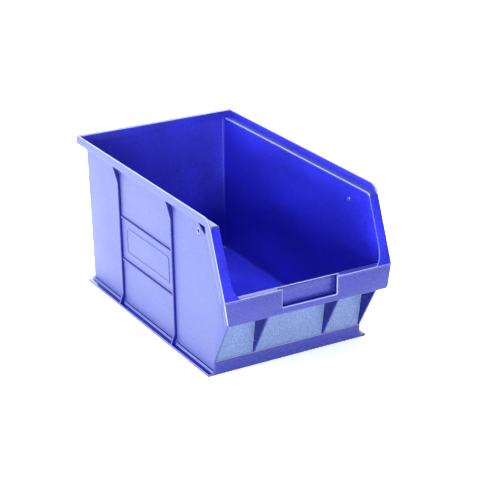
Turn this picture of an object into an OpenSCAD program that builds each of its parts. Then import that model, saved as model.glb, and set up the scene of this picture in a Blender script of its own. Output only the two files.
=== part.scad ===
// Stackable open-front storage bin, injection moulded.
// Base centre at the origin, mouth towards -Y, +Z up, millimetres.
// Every named node is one feature of the moulding; neighbours meet face to face.

/* [Bin] */
// Overall width, over the rim lips
bin_w = 205; // [160:1:260]
// Overall depth, label front to rear lip
bin_d = 350; // [280:1:440]
// Overall height, floor line to rim
bin_h = 182; // [150:1:230]
// Thickness of the moulded walls
wall = 2.5; // [1.8:0.1:3.5]
// How much narrower each side is at the base than at the rim
side_taper = 2; // [0.5:0.1:6]
// How much further forward the rear wall stands at the base
rear_taper = 3.5; // [0.5:0.1:8]
// Gap between the standing line and the underside of the floor
floor_gap = 2; // [1:0.1:6]

/* [Stacking rim] */
// How far the rim reaches out past the side walls
rim_reach = 8.5; // [6:0.1:12]
// Height of the lip above the seat that carries the next bin
lip_h = 8; // [5:0.1:12]
// Thickness of the seat
seat_t = 2; // [1.5:0.1:3]
// Thickness of the lip
lip_t = 2.2; // [1.5:0.1:3]
// How far the rear lip stands behind the rear wall
rear_reach = 4.5; // [4:0.1:8]
// Radius where the rim turns down into the mouth
mouth_r = 13; // [11:0.5:24]
// How far the mouth edge slopes forward from rim to label front
mouth_run = 32; // [10:0.5:60]
// Width of the web in each lower inner corner of the mouth
mouth_corner_w = 9; // [4:0.5:16]
// Height of that web
mouth_corner_h = 20; // [8:0.5:30]

/* [Label front] */
// Height of the top of the label front
apron_top = 102; // [85:0.5:125]
// Height of the label front
apron_h = 28; // [22:0.5:40]
// Thickness of its face
apron_t = 2.2; // [1.5:0.1:3]
// How much each end narrows towards the bottom
apron_taper = 4; // [0:0.1:8]
// Radius of the bottom corners of the label front
apron_r = 4; // [2:0.5:8]
// Width of the label window
label_w = 67; // [40:0.5:100]
// Height of the label window
label_h = 20.5; // [12:0.5:26]
// How far the label runs in behind the window at each side
label_undercut = 4; // [2:0.5:8]

/* [Front wall] */
// Height of the foot below the front wall
foot_h = 16; // [8:0.5:30]
// How far the foot stands behind the label front
foot_back = 42; // [20:0.5:70]
// Thickness of the foot
foot_t = 3; // [2:0.1:5]
// Set-back of the front wall behind the foot face
foot_step = 1.2; // [0.5:0.1:3]
// How far the front wall leans forward over its height
front_lean = 9; // [2:0.5:20]
// Height of the upright strip at the top of the scoop
scoop_edge = 8; // [4:0.5:14]
// Distance of the front gussets from the middle
gusset_x = 43.5; // [41.5:0.5:80]
// Thickness of the front gussets
gusset_t = 2.4; // [1.5:0.1:4]

/* [Side ribs] */
// Position of the rear rib, from the middle of the bin
rib_rear = 80; // [40:1:130]
// Position of the front rib
rib_front = -48; // [-90:1:-20]
// Thickness of the ribs
rib_t = 2.4; // [1.5:0.1:4]
// How far the ribs stand out of the wall
rib_out = 3; // [1.5:0.1:5]
// Height over which a rib flares out to the rim
flare_top = 22; // [10:1:40]
// Height over which a rib flares out to the runner
flare_low = 13; // [8:1:25]
// Half width of the flare against the wall, at the rim
flare_w = 8.5; // [4:0.5:12]
// Half width of the flare against the wall, at the plinth
flare_low_w = 6; // [3:0.5:10]
// Height of the lower bar between the ribs
bar_low = 58; // [30:1:80]
// Height of the upper bar between the ribs
bar_high = 110; // [85:1:140]
// Height of each bar
bar_t = 2.4; // [1.5:0.1:4]
// How far the bars stand out of the wall
bar_out = 1.8; // [0.8:0.1:3]
// Gap between the blank panel and the bars
panel_gap = 9; // [4:0.5:16]
// Gap between the blank panel and the ribs
panel_end = 12; // [4:0.5:24]
// Width of the raised border of the blank panel
panel_border = 2.2; // [1:0.1:4]
// How far the panel border stands out of the wall
panel_out = 0.8; // [0.4:0.1:1.5]

/* [Base] */
// Clearance at each side between the runners and the lips of the bin below
stack_gap = 0.5; // [0.3:0.1:1.5]
// Thickness of the runner
runner_t = 3; // [2:0.1:5]
// How far the runner stops short of the rear wall
runner_inset = 2; // [0:0.5:10]
// How far the plinth strip stands out of the wall
plinth_out = 2.2; // [1:0.1:4]
// Height of the plinth strip
plinth_h = 5.5; // [4:0.1:9]
// Radius of the raised pad in the rear floor corners
pad_r = 9; // [5:0.5:16]
// Height of the pad
pad_h = 1; // [0.5:0.1:2]

/* [Tie hole] */
// Radius of the tie hole in each side
hole_r = 2.5; // [1.5:0.1:3.5]
// Distance of the tie hole behind the label front
hole_back = 68; // [60:0.5:90]
// Distance of the tie hole below the seat
hole_drop = 16; // [8:0.5:20]
// How far the rim gusset stands in front of the tie hole
rim_gusset_gap = 12; // [5:0.5:14]
// Height of the rim gusset
rim_gusset_h = 16; // [8:0.5:20]

/* [Hidden] */
$fn = 48;
round_steps = 12;
half_w = bin_w / 2;
y_front = -bin_d / 2;
y_rear = bin_d / 2;

// unit vector along the mouth edge, pointing down, and the normal into the bin
edge_len = sqrt(mouth_run * mouth_run + pow(bin_h - apron_top, 2));
edge_y = -mouth_run / edge_len;
edge_z = -(bin_h - apron_top) / edge_len;
in_y = -edge_z;
in_z = edge_y;
// mouth edge, set back by d, at height z
function mouth_at(z, d) = y_front + d * in_y + (z - apron_top - d * in_z) * edge_y / edge_z;

seat_top = bin_h - lip_h;
seat_low = seat_top - seat_t;
top_half = half_w - rim_reach;
lip_in = half_w - lip_t;
band = lip_h + seat_t;
rear_top = y_rear - rear_reach;
plinth_x = top_half - side_taper + plinth_out;
runner_x = lip_in - stack_gap;
foot_y = y_front + foot_back;
wall_foot_y = foot_y + foot_step;
floor_low = floor_gap;
floor_top = floor_gap + wall;
apron_low = apron_top - apron_h;
apron_in = y_front + apron_t;
apron_back = mouth_at(apron_top, lip_h);
back_in = apron_back - apron_t;
elbow_y = wall_foot_y - front_lean;
elbow_z = apron_low;
scoop_z = apron_top - scoop_edge;
label_low = apron_top - label_h;
label_half = label_w / 2;
pocket_half = label_half + label_undercut;
hole_y = y_front + hole_back;
hole_z = seat_low - hole_drop;
rim_gusset_y = hole_y - rim_gusset_gap;
panel_low = bar_low + bar_t + panel_gap;
panel_high = bar_high - panel_gap;
far = bin_d + bin_h;

// outer half width and rear face of the tapered walls at height z
function side_at(z) = top_half - side_taper * (1 - z / seat_low);
function rear_at(z) = rear_top - rear_taper * (1 - z / seat_low);
// centre of the round at the top of the mouth
round_z = bin_h - mouth_r;
round_y = mouth_at(round_z, mouth_r);
// front edge of the side walls and gussets under the label front
function under_at(z) = foot_y + (apron_back - foot_y) * (z - foot_h) / (apron_low - foot_h);
// outer face of the scoop at depth y
scoop_slope = (scoop_z - elbow_z) / (back_in - elbow_y);
function scoop_at(y) = elbow_z + (y - elbow_y) * scoop_slope;
// half width of the label front at height z
function apron_at(z) = half_w - apron_taper * (apron_top - z) / apron_h;

// ---- helpers -------------------------------------------------------------

// a side outline drawn in Y and Z, carried along X
module along_x(x0, x1) {
    translate([x0, 0, 0]) rotate([90, 0, 90]) linear_extrude(x1 - x0) children();
}

// a front outline drawn in X and Z, carried along Y
module along_y(y0, y1) {
    translate([0, y1, 0]) rotate([90, 0, 0]) linear_extrude(y1 - y0) children();
}

// the right-hand feature, or its mirror image on the left
module sided(left) {
    if (left) mirror([1, 0, 0]) children();
    else children();
}

module box(lo, hi) {
    translate(lo) cube([hi[0] - lo[0], hi[1] - lo[1], hi[2] - lo[2]]);
}

// everything behind the mouth edge set back by d, from height z up
module behind_mouth(d, z) {
    r = mouth_r - d;
    start = atan2(-in_z, -in_y);
    polygon(concat(
        [[y_rear, z], [mouth_at(z, d), z]],
        [for (i = [0 : round_steps]) let (a = start + (90 - start) * i / round_steps)
            [round_y + r * cos(a), round_z + r * sin(a)]],
        [[y_rear, round_z + r]]
    ));
}

// strip between two set-backs of the mouth edge, in front of y1 and behind y0
module edge_strip(d0, d1, y0, y1, z) {
    intersection() {
        difference() {
            behind_mouth(d0, z);
            behind_mouth(d1, z - far);
        }
        translate([y0, z]) square([y1 - y0, far]);
    }
}

// cross-section of the wall layer from a to b outside the inner wall face
module wall_layer(a, b, z0, z1) {
    polygon([
        [side_at(z0) - wall + a, z0], [side_at(z0) - wall + b, z0],
        [side_at(z1) - wall + b, z1], [side_at(z1) - wall + a, z1]
    ]);
}

// the room between the two side walls, from z0 to z1
module between_walls(z0, z1) {
    polygon([
        [wall - side_at(z0), z0], [side_at(z0) - wall, z0],
        [side_at(z1) - wall, z1], [wall - side_at(z1), z1]
    ]);
}

// ---- base ----------------------------------------------------------------

module floor_panel() {
    color("royalblue") intersection() {
        along_x(-half_w, half_w) polygon([
            [foot_y + foot_t, floor_low], [rear_at(floor_low) - wall, floor_low],
            [rear_at(floor_top) - wall, floor_top], [foot_y + foot_t, floor_top]
        ]);
        along_y(y_front, y_rear) between_walls(floor_low, floor_top);
    }
}

module floor_pad() {
    top = floor_top + pad_h;
    color("royalblue") intersection() {
        translate([side_at(floor_top) - wall, rear_at(floor_top) - wall, floor_top])
            cylinder(h = pad_h, r = pad_r);
        along_y(y_front, y_rear) between_walls(floor_top, top);
        along_x(0, half_w) polygon([
            [0, floor_top], [rear_at(floor_top) - wall, floor_top],
            [rear_at(top) - wall, top], [0, top]
        ]);
    }
}

module plinth() {
    color("royalblue") along_y(foot_y, rear_at(0) - runner_inset) polygon([
        [side_at(0), 0], [plinth_x, 0], [plinth_x, plinth_h], [side_at(plinth_h), plinth_h]
    ]);
}

module runner() {
    color("royalblue")
        box([plinth_x, foot_y, 0], [runner_x, rear_at(0) - runner_inset, runner_t]);
}

// ---- walls ---------------------------------------------------------------

module rear_wall() {
    color("royalblue") intersection() {
        along_x(-half_w, half_w) polygon([
            [rear_at(0) - wall, 0], [rear_at(0), 0],
            [rear_at(seat_low), seat_low], [rear_at(seat_low) - wall, seat_low]
        ]);
        along_y(y_front, y_rear) between_walls(0, seat_low);
    }
}

module side_wall() {
    color("royalblue") difference() {
        intersection() {
            along_x(0, half_w) intersection() {
                behind_mouth(seat_t, -far);
                polygon([
                    [foot_y, 0], [rear_at(0), 0], [rear_at(seat_low), seat_low],
                    [y_front, seat_low], [y_front, apron_top], [apron_back, apron_top],
                    [apron_back, apron_low], [foot_y, foot_h]
                ]);
            }
            along_y(y_front, y_rear) wall_layer(0, wall, 0, seat_low);
        }
        translate([0, hole_y, hole_z]) rotate([0, 90, 0]) cylinder(h = half_w, r = hole_r);
    }
}

module front_foot() {
    color("royalblue") intersection() {
        box([-half_w, foot_y, 0], [half_w, foot_y + foot_t, foot_h]);
        along_y(y_front, y_rear) between_walls(0, foot_h);
    }
}

module front_wall() {
    color("royalblue") intersection() {
        along_x(-half_w, half_w) polygon([
            [wall_foot_y, foot_h], [wall_foot_y + wall, foot_h],
            [elbow_y + wall, elbow_z], [elbow_y, elbow_z]
        ]);
        along_y(y_front, y_rear) between_walls(foot_h, elbow_z);
    }
}

module front_scoop() {
    color("royalblue") intersection() {
        along_x(-half_w, half_w) polygon([
            [elbow_y, elbow_z], [elbow_y + wall, elbow_z],
            [apron_back, scoop_at(apron_back) + wall], [apron_back, scoop_at(apron_back)]
        ]);
        along_y(y_front, y_rear) between_walls(elbow_z, apron_top);
    }
}

module scoop_edge_strip() {
    color("royalblue") intersection() {
        along_x(-half_w, half_w) polygon([
            [back_in, scoop_z], [apron_back, scoop_at(apron_back)],
            [apron_back, apron_top], [back_in, apron_top]
        ]);
        along_y(y_front, y_rear) between_walls(elbow_z, apron_top);
    }
}

module front_gusset() {
    color("royalblue") along_x(gusset_x - gusset_t / 2, gusset_x + gusset_t / 2) polygon([
        [foot_y, foot_h], [under_at(apron_low), apron_low], [apron_in, apron_low],
        [apron_in, scoop_z], [back_in, scoop_z], [elbow_y, elbow_z], [wall_foot_y, foot_h]
    ]);
}

// ---- stacking rim --------------------------------------------------------

module rear_rim_wall() {
    color("royalblue") box([-lip_in, rear_top - wall, seat_low], [lip_in, rear_top, bin_h]);
}

module rear_hanging_lip() {
    color("royalblue") along_x(-lip_in, lip_in) polygon([
        [rear_top, bin_h - seat_t], [y_rear - lip_t, bin_h - seat_t],
        [y_rear - lip_t, seat_low], [y_rear, seat_low], [y_rear, bin_h], [rear_top, bin_h]
    ]);
}

module rim_seat() {
    color("royalblue") intersection() {
        along_x(0, lip_in) intersection() {
            behind_mouth(0, seat_low);
            translate([y_front, seat_low]) square([rear_top - wall - y_front, seat_t]);
        }
        along_y(y_front, y_rear) wall_layer(0, far, 0, bin_h);
    }
}

module rim_lip() {
    color("royalblue") along_x(lip_in, half_w)
        edge_strip(0, band, round_y, y_rear, apron_top);
}

module mouth_flange() {
    color("royalblue") intersection() {
        along_x(0, lip_in) polygon([
            [mouth_at(apron_top, 0), apron_top], [mouth_at(seat_low, 0), seat_low],
            [mouth_at(seat_low, seat_t), seat_low], [mouth_at(apron_top, seat_t), apron_top]
        ]);
        along_y(y_front, y_rear) polygon(concat(
            [for (i = [0 : round_steps]) let (
                a = 90 * i / round_steps, z = apron_top + mouth_corner_h * (1 - cos(a))
            ) [side_at(z) - wall - mouth_corner_w * (1 - sin(a)), z]],
            [[side_at(seat_low) - wall, seat_low], [half_w, seat_low], [half_w, apron_top]]
        ));
    }
}

module mouth_lip() {
    color("royalblue") along_x(lip_in, half_w)
        edge_strip(0, band, y_front, round_y, apron_top);
}

module rim_gusset() {
    color("royalblue")
        along_y(rim_gusset_y - rib_t / 2, rim_gusset_y + rib_t / 2) polygon([
            [side_at(seat_low), seat_low], [half_w, seat_low],
            [side_at(seat_low - rim_gusset_h), seat_low - rim_gusset_h]
        ]);
}

// ---- label front ---------------------------------------------------------

// front outline of the label front, right-hand half
module apron_outline() {
    low_x = apron_at(apron_low);
    intersection() {
        polygon([[0, apron_low], [low_x, apron_low], [half_w, apron_top], [0, apron_top]]);
        union() {
            translate([0, apron_low]) square([low_x - apron_r, apron_h]);
            translate([0, apron_low + apron_r]) square([half_w, apron_h]);
            translate([low_x - apron_r, apron_low + apron_r]) circle(apron_r);
        }
    }
}

module apron_face() {
    color("royalblue") along_y(y_front, apron_in) difference() {
        apron_outline();
        translate([0, apron_low]) square([label_half, apron_h]);
    }
}

module label_rail() {
    color("royalblue")
        box([-label_half, y_front, apron_low], [label_half, apron_in, label_low]);
}

module apron_end() {
    color("royalblue") along_y(apron_in, back_in) intersection() {
        apron_outline();
        polygon([
            [apron_at(apron_low) - apron_t, apron_low], [half_w, apron_low],
            [half_w, apron_top], [half_w - apron_t, apron_top]
        ]);
    }
    color("royalblue") along_y(back_in, apron_back) intersection() {
        apron_outline();
        polygon([
            [side_at(apron_low) - wall, apron_low], [apron_at(apron_low), apron_low],
            [half_w, apron_top], [side_at(apron_top) - wall, apron_top]
        ]);
    }
}

module apron_top_strip() {
    color("royalblue") along_y(apron_in, back_in) polygon([
        [pocket_half + apron_t, apron_top - apron_t],
        [apron_at(apron_top - apron_t) - apron_t, apron_top - apron_t],
        [half_w - apron_t, apron_top], [pocket_half + apron_t, apron_top]
    ]);
}

module label_guide() {
    color("royalblue") box(
        [pocket_half, apron_in, label_low - apron_t], [pocket_half + apron_t, back_in, apron_top]);
}

module label_shelf() {
    color("royalblue") box(
        [-pocket_half, apron_in, label_low - apron_t], [pocket_half, back_in, label_low]);
}

module label_back() {
    color("royalblue") along_x(-pocket_half - apron_t, pocket_half + apron_t) polygon([
        [back_in, label_low - apron_t], [apron_back, label_low - apron_t],
        [apron_back, scoop_at(apron_back)], [back_in, scoop_z]
    ]);
}

// ---- side ribs -----------------------------------------------------------

// room outside the right-hand wall face
module outside_wall(z0, z1) {
    along_y(y_front, y_rear) wall_layer(wall, far, z0, z1);
}

module rib(y) {
    low = runner_t + flare_low;
    high = seat_low - flare_top;
    color("royalblue") union() {
        along_y(y - rib_t / 2, y + rib_t / 2) polygon([
            [plinth_x, runner_t], [runner_x, runner_t],
            [side_at(low) + rib_out, low], [side_at(high) + rib_out, high],
            [half_w, seat_low], [side_at(seat_low), seat_low],
            [side_at(plinth_h), plinth_h], [plinth_x, plinth_h]
        ]);
        intersection() {
            translate([side_at(high), y, high])
                cylinder(h = flare_top, r1 = 0, r2 = flare_w, $fn = 4);
            outside_wall(high, seat_low);
        }
        intersection() {
            translate([side_at(low), y, plinth_h])
                cylinder(h = low - plinth_h, r1 = flare_low_w, r2 = 0, $fn = 4);
            outside_wall(plinth_h, low);
        }
    }
}

module bar(z) {
    color("royalblue") along_y(rib_front + rib_t / 2, rib_rear - rib_t / 2)
        wall_layer(wall, wall + bar_out, z, z + bar_t);
}

module panel() {
    color("royalblue") intersection() {
        along_x(0, half_w) difference() {
            translate([rib_front + panel_end, panel_low])
                square([rib_rear - rib_front - 2 * panel_end, panel_high - panel_low]);
            translate([rib_front + panel_end + panel_border, panel_low + panel_border])
                square([
                    rib_rear - rib_front - 2 * (panel_end + panel_border),
                    panel_high - panel_low - 2 * panel_border
                ]);
        }
        along_y(y_front, y_rear) wall_layer(wall, wall + panel_out, panel_low, panel_high);
    }
}

// ---- build ---------------------------------------------------------------

floor_panel();
sided(true) floor_pad();  // floor_pad_left
sided(false) floor_pad();  // floor_pad_right
rear_wall();
rear_rim_wall();
rear_hanging_lip();
sided(true) side_wall();  // side_wall_left
sided(false) side_wall();  // side_wall_right
sided(true) rim_seat();  // rim_seat_left
sided(false) rim_seat();  // rim_seat_right
sided(true) rim_lip();  // rim_lip_left
sided(false) rim_lip();  // rim_lip_right
sided(true) mouth_flange();  // mouth_flange_left
sided(false) mouth_flange();  // mouth_flange_right
sided(true) mouth_lip();  // mouth_lip_left
sided(false) mouth_lip();  // mouth_lip_right
front_wall();
front_scoop();
scoop_edge_strip();
front_foot();
sided(true) front_gusset();  // front_gusset_left
sided(false) front_gusset();  // front_gusset_right
sided(true) apron_face();  // apron_face_left
sided(false) apron_face();  // apron_face_right
label_rail();
sided(true) apron_end();  // apron_end_left
sided(false) apron_end();  // apron_end_right
sided(true) apron_top_strip();  // apron_top_left
sided(false) apron_top_strip();  // apron_top_right
sided(true) label_guide();  // label_guide_left
sided(false) label_guide();  // label_guide_right
label_shelf();
label_back();
sided(true) runner();  // runner_left
sided(false) runner();  // runner_right
sided(true) plinth();  // plinth_left
sided(false) plinth();  // plinth_right
sided(true) rib(rib_rear);  // rib_rear_left
sided(false) rib(rib_rear);  // rib_rear_right
sided(true) rib(rib_front);  // rib_front_left
sided(false) rib(rib_front);  // rib_front_right
sided(true) bar(bar_high);  // bar_high_left
sided(false) bar(bar_high);  // bar_high_right
sided(true) bar(bar_low);  // bar_low_left
sided(false) bar(bar_low);  // bar_low_right
sided(true) panel();  // panel_left
sided(false) panel();  // panel_right
sided(true) rim_gusset();  // rim_gusset_left
sided(false) rim_gusset();  // rim_gusset_right
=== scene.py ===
"""Open-front stacking storage bin: the looks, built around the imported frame.

The bin is one injection moulding. Each piece below is one region of its skin, made as a
closed mesh that runs a little way into its neighbours, so that the moulding reads as one.
Lengths are millimetres in the frame's axes: X across, Y to the rear, Z up. make_mesh turns
them into metres.
"""
import math

import bmesh
import bpy
from mathutils import Matrix, Vector


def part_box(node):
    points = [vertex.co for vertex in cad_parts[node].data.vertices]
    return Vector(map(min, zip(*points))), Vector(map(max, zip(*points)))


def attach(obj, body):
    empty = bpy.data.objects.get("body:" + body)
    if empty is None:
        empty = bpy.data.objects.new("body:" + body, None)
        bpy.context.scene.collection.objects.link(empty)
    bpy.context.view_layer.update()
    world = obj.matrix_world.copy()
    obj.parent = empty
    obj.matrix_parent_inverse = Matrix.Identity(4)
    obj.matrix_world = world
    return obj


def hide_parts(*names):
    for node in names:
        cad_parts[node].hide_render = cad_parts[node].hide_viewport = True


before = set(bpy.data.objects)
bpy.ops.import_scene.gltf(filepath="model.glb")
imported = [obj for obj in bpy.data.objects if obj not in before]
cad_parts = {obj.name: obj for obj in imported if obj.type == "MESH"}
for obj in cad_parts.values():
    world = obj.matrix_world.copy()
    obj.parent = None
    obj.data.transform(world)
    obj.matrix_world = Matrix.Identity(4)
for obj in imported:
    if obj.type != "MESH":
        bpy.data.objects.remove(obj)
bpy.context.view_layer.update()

MM = 0.001
QUARTER = math.pi / 2              # a quarter turn

# ---- sizes -------------------------------------------------------------------------------


def node_box(node):
    """Lowest and highest corner of a CAD node, in millimetres."""
    low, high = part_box(node)
    return low / MM, high / MM


lip_low, lip_high = node_box("rim_lip_right")
_, seat_high = node_box("rim_seat_right")
mouth_low, _ = node_box("mouth_lip_right")
_, side_high = node_box("side_wall_right")
_, rear_high = node_box("rear_wall")
foot_low, foot_high = node_box("front_foot")
front_low, _ = node_box("front_wall")
scoop_edge_low, scoop_edge_high = node_box("scoop_edge_strip")
apron_low, apron_high = node_box("apron_face_right")
floor_low, floor_high = node_box("floor_panel")
rib_low, rib_high = node_box("rib_rear_right")
rib_front_low, rib_front_high = node_box("rib_front_right")
bar_low, _ = node_box("bar_low_right")
bar_high, _ = node_box("bar_high_right")
rim_gusset_low, rim_gusset_high = node_box("rim_gusset_right")
front_gusset_low, front_gusset_high = node_box("front_gusset_right")

# read from the CAD nodes
HALF_WIDTH = lip_high.x
LIP_IN = lip_low.x
LIP_THICK = HALF_WIDTH - LIP_IN
RIM_TOP = lip_high.z
SEAT_LOW = lip_low.z
SEAT_TOP = seat_high.z
SEAT_THICK = SEAT_TOP - SEAT_LOW
REAR = lip_high.y
FRONT = mouth_low.y
APRON_TOP = mouth_low.z
APRON_LOW = apron_low.z
APRON_IN = apron_high.y          # inner face of the label front
APRON_BACK = scoop_edge_high.y   # where the side walls and the scoop meet behind it
BACK_IN = scoop_edge_low.y       # front face of the wall behind the label
SCOOP_Z = scoop_edge_low.z
FOOT_Y = foot_low.y
FOOT_BACK = foot_high.y
FOOT_TOP = foot_high.z
ELBOW_Y = front_low.y            # where the front wall turns into the scoop
REAR_TOP = rear_high.y
SIDE_TOP = side_high.x
RIB_Y = (rib_low.y + rib_high.y) / 2
RIB_FRONT_Y = (rib_front_low.y + rib_front_high.y) / 2
PANEL_Y = (RIB_Y + RIB_FRONT_Y) / 2
BAR_RISE = bar_high.z - bar_low.z

# the moulding's own sizes
WALL = 2.5
SIDE_TAPER = 2.0
REAR_TAPER = 3.5
FOOT_STEP = 1.2
APRON_TAPER = 4.0
APRON_CORNER = 4.0
MOUTH_RUN = 32.0                 # how far the mouth edge leans back
MOUTH_RADIUS = 13.0
MOUTH_CORNER_WIDTH = 9.0
MOUTH_CORNER_HEIGHT = 20.0
REAR_CORNER = 6.0
LABEL_HALF = 33.5
FACE_TOP = APRON_TOP - 1.0       # the plates of the label front end inside its cap
BACK_TOP = APRON_TOP - 0.8       # and so do the parts behind the label
HOLE_RADIUS = 2.5
HOLE = ((rim_gusset_low.y + rim_gusset_high.y) / 2 + 12.0, SEAT_LOW - 16.0)
RIB_THICK = 2.4
RIB_OUT = 3.0
FLARE_LOW = 16.0                 # the ribs flare out below this height
FLARE_HIGH = SEAT_LOW - 22.0     # and above this one
FLARE_LOW_HALF = 6.0
FLARE_HIGH_HALF = 8.5
TUCK = 0.6                       # how far a piece runs into its neighbour
ROOT = 0.6                       # how deep the outside webs stand in the side wall
EDGE = 0.5                       # radius of a moulded edge

# the mouth edge as a line in Y and Z
mouth_rise = RIM_TOP - APRON_TOP
mouth_length = math.hypot(MOUTH_RUN, mouth_rise)
INTO_Y = mouth_rise / mouth_length
INTO_Z = -MOUTH_RUN / mouth_length
MOUTH_LEAN = MOUTH_RUN / mouth_rise
ROUND_Y = lip_low.y
ROUND_Z = RIM_TOP - MOUTH_RADIUS


def side_at(z):
    """Outer half width of the side walls at height z."""
    return SIDE_TOP - SIDE_TAPER * (1 - z / SEAT_LOW)


def rear_at(z):
    """Rear face of the rear wall at height z."""
    return REAR_TOP - REAR_TAPER * (1 - z / SEAT_LOW)


def apron_at(z):
    """Half width of the label front at height z."""
    return HALF_WIDTH - APRON_TAPER * (APRON_TOP - z) / (APRON_TOP - APRON_LOW)


def mouth_at(z, setback):
    """Depth of the mouth edge at height z, set back into the bin."""
    return FRONT + setback * INTO_Y + (z - APRON_TOP - setback * INTO_Z) * MOUTH_LEAN


def wall_front(z):
    """Front edge of the side walls at height z."""
    if z <= FOOT_TOP:
        return FOOT_Y
    if z <= APRON_LOW:
        return FOOT_Y + (APRON_BACK - FOOT_Y) * (z - FOOT_TOP) / (APRON_LOW - FOOT_TOP)
    if z < APRON_TOP - 0.5:
        return APRON_BACK
    return mouth_at(max(z, APRON_TOP), SEAT_THICK - TUCK)


def front_wall_at(z):
    """Depth of the middle of the front wall at height z, up to the elbow of the scoop."""
    lean = (min(max(z, FOOT_TOP), APRON_LOW) - FOOT_TOP) / (APRON_LOW - FOOT_TOP)
    wall_foot = FOOT_Y + FOOT_STEP
    return wall_foot + (ELBOW_Y - wall_foot) * lean + WALL / 2


# ---- outlines ----------------------------------------------------------------------------


def arc(start, sweep, steps):
    """Angles from start through sweep, with both ends."""
    return [start + sweep * i / steps for i in range(steps + 1)]


def corner_arc(centre, radius, angles):
    """Points of a round corner about its centre."""
    return [(centre[0] + radius * math.cos(a), centre[1] + radius * math.sin(a)) for a in angles]


def rounded(corners, radii, steps=4):
    """Closed outline through the corners, each one turned with its own radius."""
    straight, most_of_edge = 3.1, 0.45
    if not isinstance(radii, (list, tuple)):
        radii = [radii] * len(corners)
    outline = []
    for i, (corner, radius) in enumerate(zip(corners, radii)):
        here = Vector(corner)
        back = Vector(corners[i - 1]) - here
        ahead = Vector(corners[(i + 1) % len(corners)]) - here
        angle = back.angle(ahead)
        if radius <= 0 or angle > straight:
            outline.append(tuple(here))
            continue
        reach = min(radius / math.tan(angle / 2),
                    most_of_edge * back.length, most_of_edge * ahead.length)
        start = here + back.normalized() * reach
        end = here + ahead.normalized() * reach
        true_radius = reach * math.tan(angle / 2)
        centre = here + (back.normalized() + ahead.normalized()).normalized() * (
            true_radius / math.sin(angle / 2))
        swing = (start - centre).angle_signed(end - centre)
        for k in range(steps + 1):
            spoke = (start - centre).copy()
            spoke.rotate(Matrix.Rotation(-swing * k / steps, 2))
            outline.append(tuple(centre + spoke))
    return outline


def rim_edge(setback, y_start, z_end):
    """The rim edge in Y and Z: level from y_start, round the mouth corner, down to z_end."""
    level_steps, slope_steps, turn_steps = 8, 6, 12
    turn = math.atan2(-INTO_Z, -INTO_Y) - QUARTER
    level = [(y_start + (ROUND_Y - y_start) * i / level_steps, RIM_TOP - setback)
             for i in range(level_steps)]
    corner = corner_arc((ROUND_Y, ROUND_Z), MOUTH_RADIUS - setback, arc(QUARTER, turn, turn_steps))
    z_corner = corner[-1][1]
    slope = [z_corner + (z_end - z_corner) * i / slope_steps for i in range(1, slope_steps + 1)]
    return level + corner + [(mouth_at(z, setback), z) for z in slope]


# ---- mesh making -------------------------------------------------------------------------


def loft(rings, endless=False):
    """Closed solid through rings of equal length: a face over each end, or end joined to start."""
    bm = bmesh.new()
    rows = [[bm.verts.new(point) for point in ring] for ring in rings]
    count = len(rings[0])
    for lower, upper in zip(rows, rows[1:] + rows[:1] if endless else rows[1:]):
        for i in range(count):
            j = (i + 1) % count
            bm.faces.new((lower[i], lower[j], upper[j], upper[i]))
    if not endless:
        bm.faces.new(rows[0][::-1])
        bm.faces.new(rows[-1])
    return bm


def along_x(outline, x_low, x_high):
    """Y and Z outline carried along X. Either end may be a number or a function of height."""
    def end(x, z):
        return x(z) if callable(x) else x
    return loft([[(end(x, z), y, z) for y, z in outline] for x in (x_low, x_high)])


def along_y(outline, y_low, y_high):
    """X and Z outline carried along Y."""
    return loft([[(x, y, z) for x, z in outline] for y in (y_low, y_high)])


def along_z(outline, z_low, z_high):
    """X and Y outline carried up from z_low to z_high."""
    return loft([[(x, y, z) for x, y in outline] for z in (z_low, z_high)])


def soften(bm, radius):
    """Rounds every edge that turns by more than the sharp angle."""
    sharp, steps = 0.6, 3
    bmesh.ops.recalc_face_normals(bm, faces=bm.faces)
    edges = [e for e in bm.edges if len(e.link_faces) == 2 and e.calc_face_angle() > sharp]
    if edges:
        bmesh.ops.bevel(bm, geom=edges, offset=radius, offset_type="OFFSET", segments=steps,
                        profile=0.5, affect="EDGES", clamp_overlap=True)
    return bm


def mirrored(bm):
    """A copy of the right-hand shape on the left, with its faces outwards again."""
    other = bm.copy()
    bmesh.ops.transform(other, matrix=Matrix.Scale(-1, 4, (1, 0, 0)), verts=other.verts)
    bmesh.ops.reverse_faces(other, faces=other.faces)
    return other


def both_sides(shapes):
    """The right-hand shapes, followed by their copies on the left."""
    return shapes + [mirrored(bm) for bm in shapes]


def mark_worn_and_highlit_edges(mesh):
    """Marks the narrow faces that turn an outer edge, which hands and other bins scuff, and which
    also carry a painted highlight. Those that look down get neither."""
    convex, looks_down = 0.12, -0.2
    bm = bmesh.new()
    bm.from_mesh(mesh)
    values = []
    for face in bm.faces:
        turns = [e.calc_face_angle_signed() for e in face.edges if len(e.link_faces) == 2]
        slim = face.calc_area() / max(e.calc_length() for e in face.edges) < EDGE * MM
        turns_edge = sum(turn > convex for turn in turns) >= 2
        values.append(1.0 if slim and turns_edge and face.normal.z > looks_down else 0.0)
    bm.free()
    attribute = mesh.attributes.new("worn_edge", "FLOAT", "FACE")
    attribute.data.foreach_set("value", values)


def make_mesh(name, shapes):
    """Joins the shapes, given in millimetres, into one mesh in metres with faces outwards."""
    mesh = bpy.data.meshes.new(name)
    whole = bmesh.new()
    for shape in shapes:
        bmesh.ops.recalc_face_normals(shape, faces=shape.faces)
        part = bpy.data.meshes.new("part")
        shape.to_mesh(part)
        whole.from_mesh(part)
        bpy.data.meshes.remove(part)
        shape.free()
    bmesh.ops.transform(whole, matrix=Matrix.Scale(MM, 4), verts=whole.verts)
    whole.to_mesh(mesh)
    whole.free()
    return mesh


def make_object(name, data):
    """Links a mesh, a light or a camera into the scene."""
    piece = bpy.data.objects.new(name, data)
    bpy.context.scene.collection.objects.link(piece)
    return piece


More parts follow.
